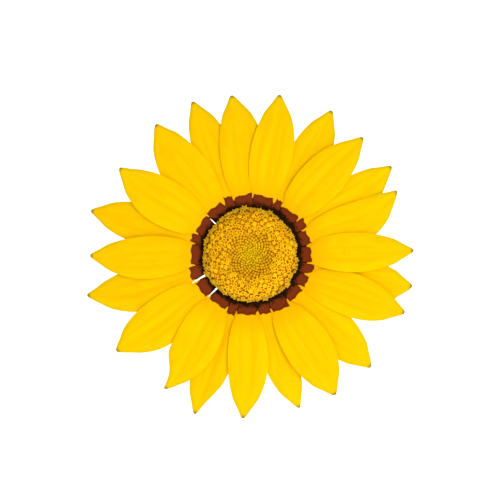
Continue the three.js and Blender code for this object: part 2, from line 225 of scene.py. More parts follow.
# The cup of joined bracts
CUP_DEPTH = 14
CUP_PROFILE = (
    (0, -14),
    (2.5, -14),
    (2.9, -13),
    (4.2, -11.6),
    (5.9, -9.8),
    (7.1, -7.6),
    (7.9, -5.2),
    (8.5, -3),
    (8.9, -1.8),
    (8.9, -1.3),
    (7.3, -1.3),
    (7.3, 0.1),
    (0, 0.1),
)
CUP_STEPS = 128
CUP_SHARP_ANGLE = 50
CUP_CUTS = 3  # how often the cup's edges that rise more than LONG_RISE are cut
LONG_RISE = 1
SEAM_DEPTH = 0.045
SEAMS_FROM = -9
SEAMS_TO = -1.9
INNER_BRACTS = {"count": 16, "half": 1.5, "path": ((8.1, -3.2), (9.6, -2.3), (12.4, -2.5))}
OUTER_BRACTS = {"count": 14, "half": 1.1, "path": ((6.9, -7.8), (8.9, -6.4), (11.2, -3.9))}
BRACT_ROWS = 14
BRACT_COLUMNS = 8
BRACT_THICKNESS = 0.7
BRACT_KEEL = 0.7  # the lower, the broader the thick middle of a bract
BRACT_TAPER = 1.6
BRACT_TIP_HALF = 0.12

# Hairs: radius at the foot, share sunk in, lean along the stalk and random spread
HAIR_RADIUS = 0.035
HAIR_SINK = 0.12
HAIR_LEAN = 0.35
HAIR_SPREAD = 0.28
HAIR_SCALES = (0.6, 1.3)
CUP_HAIR_ZONE = (-13, -2.4)
CUP_HAIR_FOOT = 0.98  # radius of the hairs' feet as a share of the cup's
HAIR_TONE = 2  # what marks a hair in the cup's and the stalk's attribute

# The stalk
STALK_RADIUS = 2
STALK_SIDES = 10  # of the solid, whose flat side sets how high the stalk lies
STALK_ROUND = 60
STALK_STEPS = 130
STALK_RIBS = 12
STALK_SHARP_ANGLE = 40
SKIN_SHARE = 0.975  # radius between the ribs and furrows as a share of the stalk's
RIB_SHARE = 0.02
NECK_SWELL = 0.12
NECK_SWELL_END = 5
STALK_SINK = 0.6  # how far the stalk goes into the cup
NECK_LENGTH = 22.9  # from inside the cup to where the bend starts
LYING_LENGTH = 30
CUT_ANGLE = math.radians(35)
RIND = 0.35  # the green skin round the pith at the cut
RIM_MERGE = 0.1  # corners of the cut that are closer than this become one
PITH_TONE = 4  # what marks the pith in the stalk's attribute
STALK_HAIR_FOOT = 0.96
STALK_HAIR_SHIFT = 0.4  # random shift along the stalk
HAIRY_STEPS = slice(4, -14)
HAIR_FLOOR = 0.7  # height above which the lying stalk has hairs

# The stage
CAMERA_DISTANCE = 389
CAMERA_SIDE = -0.23  # the bloom stands 1 pixel right of the picture's middle and 5 below it
CAMERA_UP = 1.17
CAMERA_CLIP = (0.01, 20)  # in metres
SENSOR = 36
FLOOR_SIZE = 24000
FLOOR_GLOW = 0.7
DOME_LIGHT = 0.68
KEY_POWER = 8.15
KEY_SIZE = 850
KEY_PLACE = (370, 60, 1000)  # in the bloom's frame
WHITE = (1, 1, 1, 1)


def linear(code):
    """An sRGB hex value as a linear colour."""
    channels = [int(code[i : i + 2], 16) / 255 for i in (1, 3, 5)]
    return tuple(c / 12.92 if c <= 0.04045 else ((c + 0.055) / 1.055) ** 2.4 for c in channels)


def colour_property(label, code, says):
    return FloatVectorProperty(
        name=label, description=says, default=linear(code), size=3, min=0, max=1, subtype="COLOR"
    )


def length_property(label, size, says):
    return FloatProperty(name=label, description=says, default=size * MM, unit="LENGTH")


class FlowerColours(PropertyGroup):
    """The colours of the bloom, its green parts and the stage."""

    petal: colour_property("Petal", "#E3B301", "Open face of a ray")
    petal_base: colour_property("Petal base", "#E1A502", "Ray near the ring of marks")
    # Painted shade for a ray's folds; the same colour also draws its veins and blotches
    petal_vein_and_fold_shade: colour_property("Petal fold", "#DFA200", "Lengthwise folds and veins of a ray")
    petal_edge: colour_property("Petal edge", "#C8A802", "Thin edge of a ray")
    petal_back: colour_property("Petal back", "#D9B93A", "Underside of a ray")
    petal_stripe: colour_property("Petal back stripe", "#7C6A32", "Stripe along a ray's underside")
    petal_tip: colour_property("Petal tip", "#4E4818", "Dry point of a ray")
    mark: colour_property("Mark", "#5E220A", "Red-brown mark at the base of a ray")
    mark_middle: colour_property("Mark middle", "#702A11", "Middle of a red-brown mark")
    # Besides the black band, this colour paints the shadow line along the edge of an upper ray's mark
    mark_black_and_shadow: colour_property("Inner mark", "#1E0E06", "Black band next to the disc")
    floret: colour_property("Floret", "#E8B204", "Lobes of the open florets")
    floret_tube: colour_property("Floret tube", "#DE9F04", "Tubes of the open florets")
    # Painted shade: the florets' feet and the core seen between them take this darker colour
    floret_shade: colour_property("Floret shade", "#CB8606", "Depths between the open florets")
    floret_tip: colour_property("Floret tip", "#A45C06", "Tips of the anther tubes")
    disc_rim: colour_property("Disc rim", "#9A7D24", "Outermost florets, against the black band")
    pollen: colour_property("Pollen", "#E6AF04", "Anther tubes and pollen")
    bud: colour_property("Bud", "#D2AC05", "Tops of the buds in the middle")
    bud_edge: colour_property("Outer bud", "#CC9408", "Tops of the buds next to the open florets")
    # Painted shade in the depths between the buds, olive in the middle and red-brown towards the open
    # florets
    bud_shade: colour_property("Bud shade", "#AA8004", "Depths between the buds in the middle")
    outer_bud_gap_shade: colour_property("Outer bud shade", "#8A4E04", "Depths between the outer buds")
    bract: colour_property("Bract", "#6F8F3F", "Cup of joined bracts")
    bract_edge: colour_property("Bract edge", "#B9C48A", "Thin edges of the bracts")
    bract_seam: colour_property("Bract seam", "#3F5A22", "Where the bracts join")
    bract_point: colour_property("Bract point", "#7A5A3A", "Dry points of the bracts")
    hair: colour_property("Hair", "#E4E8D2", "Fine hairs on cup and stalk")
    stalk: colour_property("Stalk", "#7F9A4A", "Skin of the stalk")
    pith: colour_property("Pith", "#D5DDA8", "Inside of the cut stalk")
    floor: colour_property("Floor", "#F4F4F4", "The surface that the flower lies on")


class FlowerSizes(PropertyGroup):
    """The sizes of what is finer than the solids."""

    ray_thickness: length_property("Ray thickness", 0.46, "Middle of a ray")
    ray_edge: length_property("Ray edge", 0.16, "Thickness at a ray's edge")
    fold_depth: length_property("Fold depth", 0.12, "Depth of a ray's folds")
    fold_width: length_property("Fold width", 0.55, "Half width of a ray's folds")
    hair_length: length_property("Hair length", 0.7, "Hairs on stalk and cup")
    cup_hairs: IntProperty(name="Cup hairs", description="Number of hairs on the cup", default=1200)
    stalk_hairs: IntProperty(name="Stalk hairs", description="Number of hairs on the stalk", default=2200)
    lens: FloatProperty(
        name="Lens", description="Focal length of the camera in mm", default=120, unit="CAMERA"
    )


def smooth(start, end, value):
    share = min(max((value - start) / (end - start), 0), 1)
    return share * share * (3 - 2 * share)


def lerp(a, b, share):
    return a + (b - a) * share


def new_piece(context, name, bm, material, slot, node, sharp_angle, flat=()):
    """Turns a bmesh in metres into a finished piece that rides on the flower in a node's place."""
    for face in bm.faces:
        face.smooth = face not in flat
    mesh = bpy.data.meshes.new(name)
    bm.to_mesh(mesh)
    bm.free()
    mesh.set_sharp_from_angle(angle=math.radians(sharp_angle))
    mesh.materials.append(material)
    piece = bpy.data.objects.new(name, mesh)
    context.scene.collection.objects.link(piece)
    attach(piece, BODY)
    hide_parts(node)


def spun(bm, profile, steps=ROUND_STEPS):
    """Spins a profile of (radius, height) pairs round Z and closes it at its poles."""
    verts = [bm.verts.new((radius, 0, height)) for radius, height in profile]
    edges = [bm.edges.new(pair) for pair in zip(verts, verts[1:])]
    bmesh.ops.spin(
        bm, geom=verts + edges, axis=(0, 0, 1), angle=math.tau, steps=steps, use_merge=True
    )
    bmesh.ops.remove_doubles(bm, verts=bm.verts, dist=WELD)


def grown(bm, cap, first):
    """Extrudes a cap, drops the old one but for the first, and returns the new ring and cap."""
    geom = bmesh.ops.extrude_face_region(bm, geom=cap)["geom"]
    if not first:
        bmesh.ops.delete(bm, geom=cap, context="FACES_ONLY")
    ring = [item for item in geom if isinstance(item, bmesh.types.BMVert)]
    return ring, [item for item in geom if isinstance(item, bmesh.types.BMFace)]


def double_skin(bm, rows, columns):
    """Adds two square skins joined at the rim. Returns all their vertices and the upper ones."""
    lower = bmesh.ops.create_grid(bm, x_segments=rows, y_segments=columns, size=0.5)["verts"]
    faces = list({face for vert in lower for face in vert.link_faces})
    edges = list({edge for face in faces for edge in face.edges})
    shell = bmesh.ops.extrude_face_region(bm, geom=lower + edges + faces, use_keep_orig=True)
    upper = {item for item in shell["geom"] if isinstance(item, bmesh.types.BMVert)}
    return [*lower, *upper], upper


def new_material(name):
    """A material without nodes yet, and its tree."""
    material = bpy.data.materials.new(name)
    material.use_nodes = True
    material.node_tree.nodes.clear()
    return material, material.node_tree


def add(tree, kind, inputs, **settings):
    """Adds a shader node with its settings, and sets its inputs or links them.

    A node that is given for an input stands for its first live output. Of Map Range, the
    inputs 1 to 4 are From Min, From Max, To Min and To Max, and of Mix, 0, 6 and 7 are the
    share and its two colours.
    """
    node = tree.nodes.new("ShaderNode" + kind)
    for key, value in settings.items():
        setattr(node, key, value)
    for key, value in inputs.items():
        if isinstance(value, bpy.types.Node):
            value = next(socket for socket in value.outputs if socket.enabled)
        if isinstance(value, bpy.types.NodeSocket):
            tree.links.new(value, node.inputs[key])
        else:
            node.inputs[key].default_value = (*value, 1) if isinstance(value, Color) else value
    return node


# Rays


def ray_half_width(ray, along, across):
    half = ray.left if across > 0 else ray.right
    stretched = along ** (math.log(0.5) / math.log(ray.widest))
    side = (across > 0) - (across < 0)
    drawn = max(0, side * ray.cusp) * smooth(*CUSP_FROM, along)
    drawn = 1 - (1 - drawn) * (1 - TIP_DRAWN * smooth(*TIP_DRAWN_FROM, along))
    body = half * (1 - drawn) * max(math.sin(math.pi * stretched), 0) ** RAY_FULLNESS
    claw = CLAW_HALF_WIDTH * (1 - along) ** CLAW_FALL
    spare = EDGE_SPARE * smooth(0, EDGE_SPARE_AT, along)
    return max(math.hypot(body, claw), TIP_HALF_WIDTH) + spare


def ray_bearing(ray, along):
    a, b, c = (math.radians(x) for x in (ray.root, ray.middle, ray.tip))
    beyond = (along - MIDDLE_BEARING_AT) / (1 - MIDDLE_BEARING_AT)
    if beyond < 0:
        return lerp(a, b, smooth(0, MIDDLE_BEARING_AT, along))
    return lerp(b, c, beyond**TIP_SWEEP)


def ray_tip_z(ray):
    if abs(ray.tip - LOWEST_BEARING) >= RESTING_SPREAD:
        return LAYER_TIP_Z[ray.layer]
    down = -ray.reach * math.sin(math.radians(ray.tip))
    drop = HEAD_PLACE.z + FLOOR_DIP - down * math.cos(FACE_TILT)
    return -drop / math.sin(FACE_TILT) + SOLID_RAY_THICKNESS / 2


def claw_limit(ray, bearing, radius, side, half):
    """The half width of an upper ray, which is no wider than its mark and a margin there."""
    if ray.layer in (BACK, TUCKED):
        return half
    aside = side * radius * (math.radians(ray.mark) - bearing)
    narrow = min(half, ray.mark_width / 2 + MARK_MARGIN + aside)
    return lerp(narrow, half, smooth(*CLAW_OPENS, radius))


def slit_limit(bearing, radius, side, half):
    """The half width to one side of a ray, drawn back where a slit passes."""
    for (first, start), (last, end), width in SLITS:
        share = (radius - start) / (end - start)
        away = math.radians(lerp(first, last, share)) - bearing
        offset = side * radius * math.sin(away)
        if math.cos(away) < 0 or not (0 < share < 1 and 0 < offset < half + width):
            continue
        open_by = smooth(0, SLIT_OPENS, share) * (1 - share) ** SLIT_TAPER
        drawn = min(half, offset - width / 2 * open_by)
        half = lerp(half, drawn, smooth(0, SLIT_SOFT_END, open_by))
    return half


def ray_point(ray, along, across, fold_depth, fold_width):
    """A point of a ray's middle surface, and what its colours need."""
    radius = lerp(RAY_ROOT_RADIUS, ray.reach, along)
    bearing = ray_bearing(ray, along)
    side = 1 if across > 0 else -1
    half = claw_limit(ray, bearing, radius, side, ray_half_width(ray, along, across))
    half = slit_limit(bearing, radius, side, half)
    spread = smooth(*LAYERS_PART, along)
    flat = RAY_ROOT_Z + RAY_RISE + LAYER_LIFT[ray.layer]
    rise = RAY_RISE * smooth(0, RAY_RISE_END, along) + LAYER_LIFT[ray.layer] * spread
    fall = (ray_tip_z(ray) - flat) * along**3
    fullness = min(2 * half / (ray.left + ray.right), 1)
    hang = RAY_ARCH * across**2 * fullness * spread
    crease = RAY_CREASE * math.exp(-((across / CREASE_WIDTH) ** 2) * 2) * spread * fullness
    fold = sum(math.exp(-(((across - place) * half / fold_width) ** 2)) for place in ray.folds)
    fold *= spread * smooth(1, FOLDS_END, along)
    z = RAY_ROOT_Z + rise + fall - hang - crease - fold_depth * fold
    offset = across * half
    place = Matrix.Rotation(bearing, 3, "Z") @ Vector((radius, offset, z))
    return place, offset, fold, half - abs(offset)


def mark_shape(ray, place):
    """Distances in mm to the mark's ends: outer edge, sides, and the black band's outer edge."""
    outwards, offset, _ = Matrix.Rotation(-math.radians(ray.mark), 3, "Z") @ place
    half = ray.mark_width / 2
    lean = offset / half
    lobes = -LOBE_HEIGHT * math.cos(math.tau * lean * LOBE_WAVES + LOBE_TURN * math.sin(ray.mark))
    edge = ray.mark_reach + MARK_SPARE + ray.lobe * lean / 2 + lobes
    flare = GAP_FLARE * max(0, GAP_START - outwards)
    flare += GAP_SLANT[1] * max(0, GAP_SLANT[0] - outwards)
    return Vector((edge - outwards, half + flare - abs(offset), BAND_END[ray.layer] - outwards))


class FLOWER_OT_rays(Operator):
    """Models the rays with their folds, thin edges and slits"""

    bl_idname = "flower.rays"
    bl_label = "Rays"

    def execute(self, context):
        sizes = context.scene.flower_sizes
        thick, thin = sizes.ray_thickness / MM, sizes.ray_edge / MM
        tip_loss, tip_power = TIP_THINNING
        folding = sizes.fold_depth / MM, sizes.fold_width / MM
        bm = bmesh.new()
        blade, mark = (bm.verts.layers.float_vector.new(name) for name in ("blade", "mark"))
        fold, under, rim = (bm.verts.layers.float.new(name) for name in ("fold", "underside", "rim"))
        rng = random.Random(SEEDS["rays"])
        inner, outer, bottom, top = RING
        spun(bm, ((inner, bottom), (outer, bottom), (outer, top), (inner, top), (inner, bottom)))
        for vert in bm.verts:
            vert[blade] = (0, DEEP_INSIDE, 0.5)
            vert[mark] = (DEEP_INSIDE, DEEP_INSIDE, DEEP_INSIDE)
            vert[rim] = DEEP_INSIDE
            vert[under] = float(vert.co.z < 0)
        for ray in RAYS:
            tone = rng.random()
            verts, upper = double_skin(bm, RAY_ROWS, RAY_COLUMNS)
            for vert in verts:
                along, across = vert.co.x + 0.5, vert.co.y * 2
                place, offset, vert[fold], vert[rim] = ray_point(ray, along, across, *folding)
                body = (1 - abs(across) ** EDGE_THINNING) * (1 - tip_loss * along**tip_power)
                half_thickness = lerp(thin, thick, body) / 2
                place.z += half_thickness if vert in upper else -half_thickness
                vert.co = place
                vert[blade] = (along, offset, tone)
                vert[mark] = mark_shape(ray, place)
                vert[under] = float(vert not in upper)
        bmesh.ops.recalc_face_normals(bm, faces=bm.faces)
        bmesh.ops.transform(bm, matrix=HEAD, verts=bm.verts)
        for vert in bm.verts:
            vert.co.z = max(vert.co.z, FLOOR_CLEARANCE * MM)
        skin = petal_material(context.scene.flower_colours)
        new_piece(context, "fine_rays", bm, skin, "ray_petals", "ray_petals", RAY_SHARP_ANGLE)
        return {"FINISHED"}


def petal_material(colours):
    """Petal skin: velvety cone cells over yellow pigment, with a waxy red-brown mark."""
    material, tree = new_material("petal_skin")
    blade = add(tree, "Attribute", {}, attribute_name="blade").outputs["Vector"]
    along, offset, tone = add(tree, "SeparateXYZ", {0: blade}).outputs
    rim = add(tree, "Attribute", {}, attribute_name="rim").outputs["Fac"]
    # Veins run lengthwise about 0.5 mm apart, so their noise is drawn out along the ray
    drawn = add(tree, "VectorMath", {0: blade, 1: VEIN_STRETCH}, operation="MULTIPLY")
    veins = add(tree, "TexNoise", {"Vector": drawn, "Scale": 1, "Detail": 3, "Roughness": 0.6})
    vein_share = add(tree, "MapRange", {0: veins, 1: 0.45, 2: 0.75, 4: 0.6})
    # The folds are painted darker, as the shade that falls in their hollows
    fold = add(tree, "Attribute", {}, attribute_name="fold").outputs["Fac"]
    fold_shade_share = add(tree, "Math", {0: fold, 1: 0.6}, operation="MULTIPLY")
    veins_and_fold_shade = add(tree, "Math", {0: vein_share, 1: fold_shade_share}, operation="MAXIMUM", use_clamp=True)
    # Thicker and thinner places a few millimetres wide let more or less light through
    broad = add(tree, "VectorMath", {0: blade, 1: BLOTCH_STRETCH}, operation="MULTIPLY")
    blotches = add(tree, "TexNoise", {"Vector": broad, "Scale": 1, "Detail": 2})
    blotch_share = add(tree, "MapRange", {0: blotches, 1: 0.42, 2: 0.68, 4: 0.5})
    shade = add(tree, "Math", {0: veins_and_fold_shade, 1: blotch_share}, operation="MAXIMUM", use_clamp=True)
    face = add(tree, "Mix", {0: shade, 6: colours.petal, 7: colours.petal_vein_and_fold_shade}, data_type="RGBA")
    # The base of a ray is a warmer yellow, and each ray has a tone of its own
    base_share = add(
        tree, "MapRange", {0: along, 1: 0.42, 2: 0.16, 4: 0.9}, interpolation_type="SMOOTHSTEP"
    )
    based = add(tree, "Mix", {0: base_share, 6: face, 7: colours.petal_base}, data_type="RGBA")
    light = add(tree, "MapRange", {0: tone, 3: 0.97, 4: 1.02})
    toned = add(tree, "HueSaturation", {"Value": light, "Color": based})
    # The thin edge of the outer part is more olive, and the very point is dry
    outer_share = add(tree, "MapRange", {0: along, 1: 0.66, 2: 0.82})
    rim_share = add(tree, "MapRange", {0: rim, 1: 1, 2: 0.3, 4: outer_share})
    rimmed = add(tree, "Mix", {0: rim_share, 6: toned, 7: colours.petal_edge}, data_type="RGBA")
    tip_share = add(tree, "MapRange", {0: along, 1: 0.97, 2: 0.995, 4: 0.75})
    tipped = add(tree, "Mix", {0: tip_share, 6: rimmed, 7: colours.petal_tip}, data_type="RGBA")
    # The mark: a brown block with a ragged edge, and a black band next to the disc
    mark = add(tree, "Attribute", {}, attribute_name="mark").outputs["Vector"]
    to_end, to_side, to_band = add(tree, "SeparateXYZ", {0: mark}).outputs
    place = add(tree, "TexCoord", {}).outputs["Object"]
    rags = add(tree, "TexNoise", {"Vector": place, "Scale": MARK_RAGS / MM, "Detail": 2})
    shift = add(tree, "MapRange", {0: rags, 1: 0.3, 2: 0.7, 3: -MARK_RAG_DEPTH, 4: MARK_RAG_DEPTH})
    nearest = add(tree, "Math", {0: to_end, 1: to_side}, operation="MINIMUM")
    moved = add(tree, "Math", {0: nearest, 1: shift}, operation="ADD")
    brown_share = add(tree, "MapRange", {0: moved, 1: -0.12, 2: 0.08})
    middle_share = add(tree, "MapRange", {0: moved, 1: 0.1, 2: 0.7})
    brown = add(tree, "Mix", {0: middle_share, 6: colours.mark, 7: colours.mark_middle}, data_type="RGBA")
    # Along the edge of an upper ray a painted shadow line, dark as the black band, parts its mark from
    # the next one
    edge_shadow_share = add(tree, "MapRange", {0: rim, 1: 0.42, 2: 0.08, 4: 0.9})
    edge_shadowed_mark = add(tree, "Mix", {0: edge_shadow_share, 6: brown, 7: colours.mark_black_and_shadow}, data_type="RGBA")
    marked = add(tree, "Mix", {0: brown_share, 6: tipped, 7: edge_shadowed_mark}, data_type="RGBA")
    cloud = add(tree, "TexNoise", {"Vector": place, "Scale": BAND_CLOUDS / MM, "Detail": 2})
    uneven = add(tree, "MapRange", {0: cloud, 1: 0.3, 2: 0.7, 3: -0.55, 4: 0.42})
    black_edge = add(tree, "Math", {0: to_band, 1: uneven}, operation="ADD")
    # Along that painted shadow line the black band also reaches further out
    black_place = add(tree, "Math", {0: edge_shadow_share, 1: 0.6, 2: black_edge}, operation="MULTIPLY_ADD")
    black_share = add(tree, "MapRange", {0: black_place, 1: -0.5, 2: 0.3})
    banded = add(tree, "Mix", {0: black_share, 6: marked, 7: colours.mark_black_and_shadow}, data_type="RGBA")
    # The underside is paler, with an olive stripe along its middle
    aside = add(tree, "Math", {0: offset}, operation="ABSOLUTE")
    stripe_share = add(
        tree, "MapRange", {0: aside, 1: 2.2, 2: 0.5, 4: 0.65}, interpolation_type="SMOOTHSTEP"
    )
    stripe = add(
        tree, "Mix", {0: stripe_share, 6: colours.petal_back, 7: colours.petal_stripe}, data_type="RGBA"
    )
    under = add(tree, "Attribute", {}, attribute_name="underside").outputs["Fac"]
    skin = add(tree, "Mix", {0: under, 6: banded, 7: stripe}, data_type="RGBA")
    # The skin's ridges, about 0.3 mm apart, are drawn coarser than life to show
    along_ridges = add(tree, "VectorMath", {0: blade, 1: RIDGE_STRETCH}, operation="MULTIPLY")
    ridges = add(tree, "TexNoise", {"Vector": along_ridges, "Scale": 1, "Detail": 2})
    bump = add(tree, "Bump", {"Strength": 0.25, "Distance": RIDGE_HEIGHT * MM, "Height": ridges})
    velvet = {"Roughness": 0.6, "Specular IOR Level": 0.05, "Specular Tint": (1, 0.8, 0.03, 1)}
    shader = add(tree, "BsdfPrincipled", {"Base Color": skin, "Normal": bump, **velvet})
    add(tree, "OutputMaterial", {"Surface": shader})
    return material


# Disc


def disc_height(radius):
    fall_depth, fall_from, fall_to = RIM_FALL
    dip_depth, dip_from, dip_to = BUD_DIP
    fall = fall_depth * smooth(fall_from, fall_to, radius)
    dip = dip_depth * (1 - smooth(dip_from, dip_to, radius))
    return DOME_TOP - fall - dip


def floret_mesh(name, rings):
    """A closed floret, extruded ring by ring from its foot."""
    bm = bmesh.new()
    part = bm.verts.layers.float.new("part")
    made = bmesh.ops.create_circle(bm, cap_ends=True, radius=1, segments=FLORET_SIDES)
    ring, cap = made["verts"], bm.faces[:]
    for number, (height, radius, lobing, droop, share) in enumerate(rings):
        if number:
            ring, cap = grown(bm, cap, number == 1)
        for vert in ring:
            angle = math.atan2(vert.co.y, vert.co.x)
            lobe = math.sin(FLORET_LOBES * angle)
            out = radius * (1 + lobing * lobe)
            vert.co = (out * math.cos(angle), out * math.sin(angle), height - droop * lobe)
            vert[part] = share
    bmesh.ops.recalc_face_normals(bm, faces=bm.faces)
    mesh = bpy.data.meshes.new(name)
    bm.to_mesh(mesh)
    bm.free()
    return mesh


# Forms of florets, as rings: height and radius in mm, how far the lobes stand out, how far
# they droop, and the part: 0 foot, 1 lobe, 2 anther tube, 3 dark tip or 4 pollen
OPEN_FLORET_FORMS = (
    # wide open, with a dark-tipped anther tube
    (
        (-1.3, 0.25, 0, 0, 0),
        (-0.12, 0.42, 0.15, 0, 0.5),
        (0.0, 0.6, 0.32, 0.1, 1),
        (0.06, 0.55, 0.32, 0.09, 1),
        (0.02, 0.24, 0, 0, 1.4),
        (0.16, 0.17, 0, 0, 2.4),
        (0.22, 0.2, 0, 0, 3),
        (0.28, 0.1, 0, 0, 3),
    ),
    # half open, lobes standing up round a dark mouth
    (
        (-1.3, 0.25, 0, 0, 0),
        (-0.05, 0.44, 0.15, 0, 0.6),
        (0.16, 0.54, 0.3, -0.1, 1),
        (0.18, 0.46, 0.3, -0.1, 1),
        (0.02, 0.24, 0, 0, 1.5),
        (0.08, 0.17, 0, 0, 3),
        (0.14, 0.08, 0, 0, 3),
    ),
    # wide open, its forked style out and covered in pollen
    (
        (-1.3, 0.25, 0, 0, 0),
        (-0.12, 0.42, 0.15, 0, 0.5),
        (-0.02, 0.62, 0.34, 0.12, 1),
        (0.04, 0.57, 0.34, 0.11, 1),
        (0.03, 0.22, 0, 0, 1.4),
        (0.18, 0.13, 0, 0, 2.2),
        (0.25, 0.2, 0.35, 0, 4),
        (0.32, 0.08, 0, 0, 4),
    ),
    # just splitting at its tip
    (
        (-1.3, 0.3, 0, 0, 0),
        (-0.1, 0.48, 0.1, 0, 0.7),
        (0.1, 0.44, 0.2, 0, 1),
        (0.2, 0.28, 0.4, 0, 1),
        (0.12, 0.08, 0, 0, 2),
    ),
)
BUD_FORM = (
    (-0.9, 0.24, 0, 0, 0),
    (-0.28, 0.34, 0, 0, 0.35),
    (-0.06, 0.33, 0.05, 0, 0.8),
    (0.06, 0.2, 0.14, 0, 1),
    (0.1, 0.07, 0, 0, 1.2),
)


def spiral(spacing, power, start, end):
    """Bearings and radii of a golden-angle spiral, with the mean distance between florets there."""
    first, last = (int((radius / spacing) ** (1 / power)) for radius in (start, end))
    for n in range(first, last):
        radius = spacing * (n + 0.5) ** power
        yield n * GOLDEN_ANGLE, radius, math.sqrt(math.tau * power * radius**2 / (n + 0.5))


def outline_shift(radius, bearing):
    """How far the disc's uneven outline moves a floret outwards."""
    step = bearing % math.tau / math.tau * len(DISC_OUTLINE)
    first = int(step) % len(DISC_OUTLINE)
    following = (first + 1) % len(DISC_OUTLINE)
    shift = lerp(DISC_OUTLINE[first], DISC_OUTLINE[following], smooth(0, 1, step % 1))
    return shift * smooth(*OUTLINE_FROM, radius)


def floret_place(bearing, radius, scale, rng, jitter):
    """Where a floret stands: its mouth on the disc's surface, leaning outwards."""
    radius += outline_shift(radius, bearing)
    radius += rng.uniform(-jitter, jitter)
    bearing += rng.uniform(-jitter, jitter) / max(radius, 1)
    angle, start, end = FLORET_LEAN
    lean = angle * smooth(start, end, radius) + rng.uniform(-jitter, jitter)
    height = disc_height(radius) + rng.uniform(-jitter, jitter) * HEIGHT_JITTER
    return (
        Matrix.Rotation(bearing, 4, "Z")
        @ Matrix.Translation((radius, 0, height))
        @ Matrix.Rotation(lean, 4, "Y")
        @ Matrix.Rotation(rng.uniform(0, math.tau), 4, "Z")
        @ Matrix.Diagonal((scale, scale, 1, 1))
    )


def core_profile(inner, outer, depth, steps=8):
    """A closed profile of (radius, height) pairs, up to a depth below the disc's surface."""
    radii = [lerp(outer, inner, n / steps) for n in range(steps + 1)]
    top = [(radius, disc_height(radius) - depth) for radius in radii]
    foot = [(inner, DISC_FOOT), (outer, DISC_FOOT)]
    return [*foot, *top, foot[0]] if inner else [*foot, *top]


def put_in_order(bm):
    """Sorts a mesh by place, so that each run numbers it alike and gives a floret the same tone."""
    for parts, place in (
        (bm.verts, lambda vert: vert.co),
        (bm.edges, lambda edge: edge.verts[0].co + edge.verts[1].co),
        (bm.faces, lambda face: face.calc_center_median()),
    ):
        ranks = {part: n for n, part in enumerate(sorted(parts, key=lambda part: place(part)[:]))}
        parts.sort(key=ranks.get)


def disc_mesh(templates, places, core, rng):
    """Florets, each a copy of one of the templates, over the core that they stand in."""
    bm = bmesh.new()
    part = bm.verts.layers.float.new("part")
    for matrix in places:
        copy = rng.choice(templates).copy()
        copy.transform(matrix)
        bm.from_mesh(copy)
        bpy.data.meshes.remove(copy)
    known = set(bm.verts)
    spun(bm, core_profile(*core))
    added = [vert for vert in bm.verts if vert not in known]
    # The core takes the colour of the florets' feet, which paints shade into the depths between them
    for vert in added:
        vert[part] = 0
    bmesh.ops.recalc_face_normals(bm, faces=list({face for vert in added for face in vert.link_faces}))
    put_in_order(bm)
    place = bm.verts.layers.float_vector.new("face_place")
    for vert in bm.verts:
        vert[place] = vert.co
    bmesh.ops.transform(bm, matrix=HEAD, verts=bm.verts)
    return bm


class FLOWER_OT_open_florets(Operator):
    """Models the open florets of the outer disc"""

    bl_idname = "flower.open_florets"
    bl_label = "Open florets"

    def execute(self, context):
        rng = random.Random(SEEDS["open_florets"])
        templates = [floret_mesh(f"open_floret_{n}", rings) for n, rings in enumerate(OPEN_FLORET_FORMS)]
        places = []
        for bearing, radius, pitch in spiral(*OPEN_SPIRAL):
            scale = pitch * rng.uniform(*OPEN_SCALES)
            places.append(floret_place(bearing, radius, scale, rng, OPEN_JITTER))
        for n in range(RIM_FLORETS):
            bearing, scale = math.tau * n / RIM_FLORETS, rng.uniform(*RIM_SCALES)
            places.append(floret_place(bearing, RIM_RADIUS, scale, rng, RIM_JITTER))
        bm = disc_mesh(templates, places, OPEN_CORE, rng)
        corolla = open_floret_material(context.scene.flower_colours)
        names = "fine_open_florets", bm, corolla, "open_florets", "disc_open_florets"
        new_piece(context, *names, DISC_SHARP_ANGLE)
        return {"FINISHED"}


class FLOWER_OT_buds(Operator):
    """Models the closed buds in the middle of the disc"""

    bl_idname = "flower.buds"
    bl_label = "Buds"

    def execute(self, context):
        rng = random.Random(SEEDS["buds"])
        places = [
            floret_place(bearing, radius, pitch / BUD_PITCH, rng, BUD_JITTER)
            for bearing, radius, pitch in spiral(*BUD_SPIRAL)
        ]
        bm = disc_mesh([floret_mesh("bud", BUD_FORM)], places, BUD_CORE, rng)
        skin = bud_material(context.scene.flower_colours)
        new_piece(context, "fine_buds", bm, skin, "buds", "disc_buds", DISC_SHARP_ANGLE)
        return {"FINISHED"}


def face_radius(tree):
    """The distance in mm from the disc's centre."""
    place = add(tree, "Attribute", {}, attribute_name="face_place").outputs["Vector"]
    flat = add(tree, "VectorMath", {0: place, 1: (1, 1, 0)}, operation="MULTIPLY")
    return add(tree, "VectorMath", {0: flat}, operation="LENGTH").outputs["Value"]


def varied(tree, colour, darkest, lightest):
    """The colour with a tone of its own for each floret or bud."""
    island = add(tree, "NewGeometry", {}).outputs["Random Per Island"]
    light = add(tree, "MapRange", {0: island, 3: darkest, 4: lightest})
    return add(tree, "HueSaturation", {"Value": light, "Color": colour})


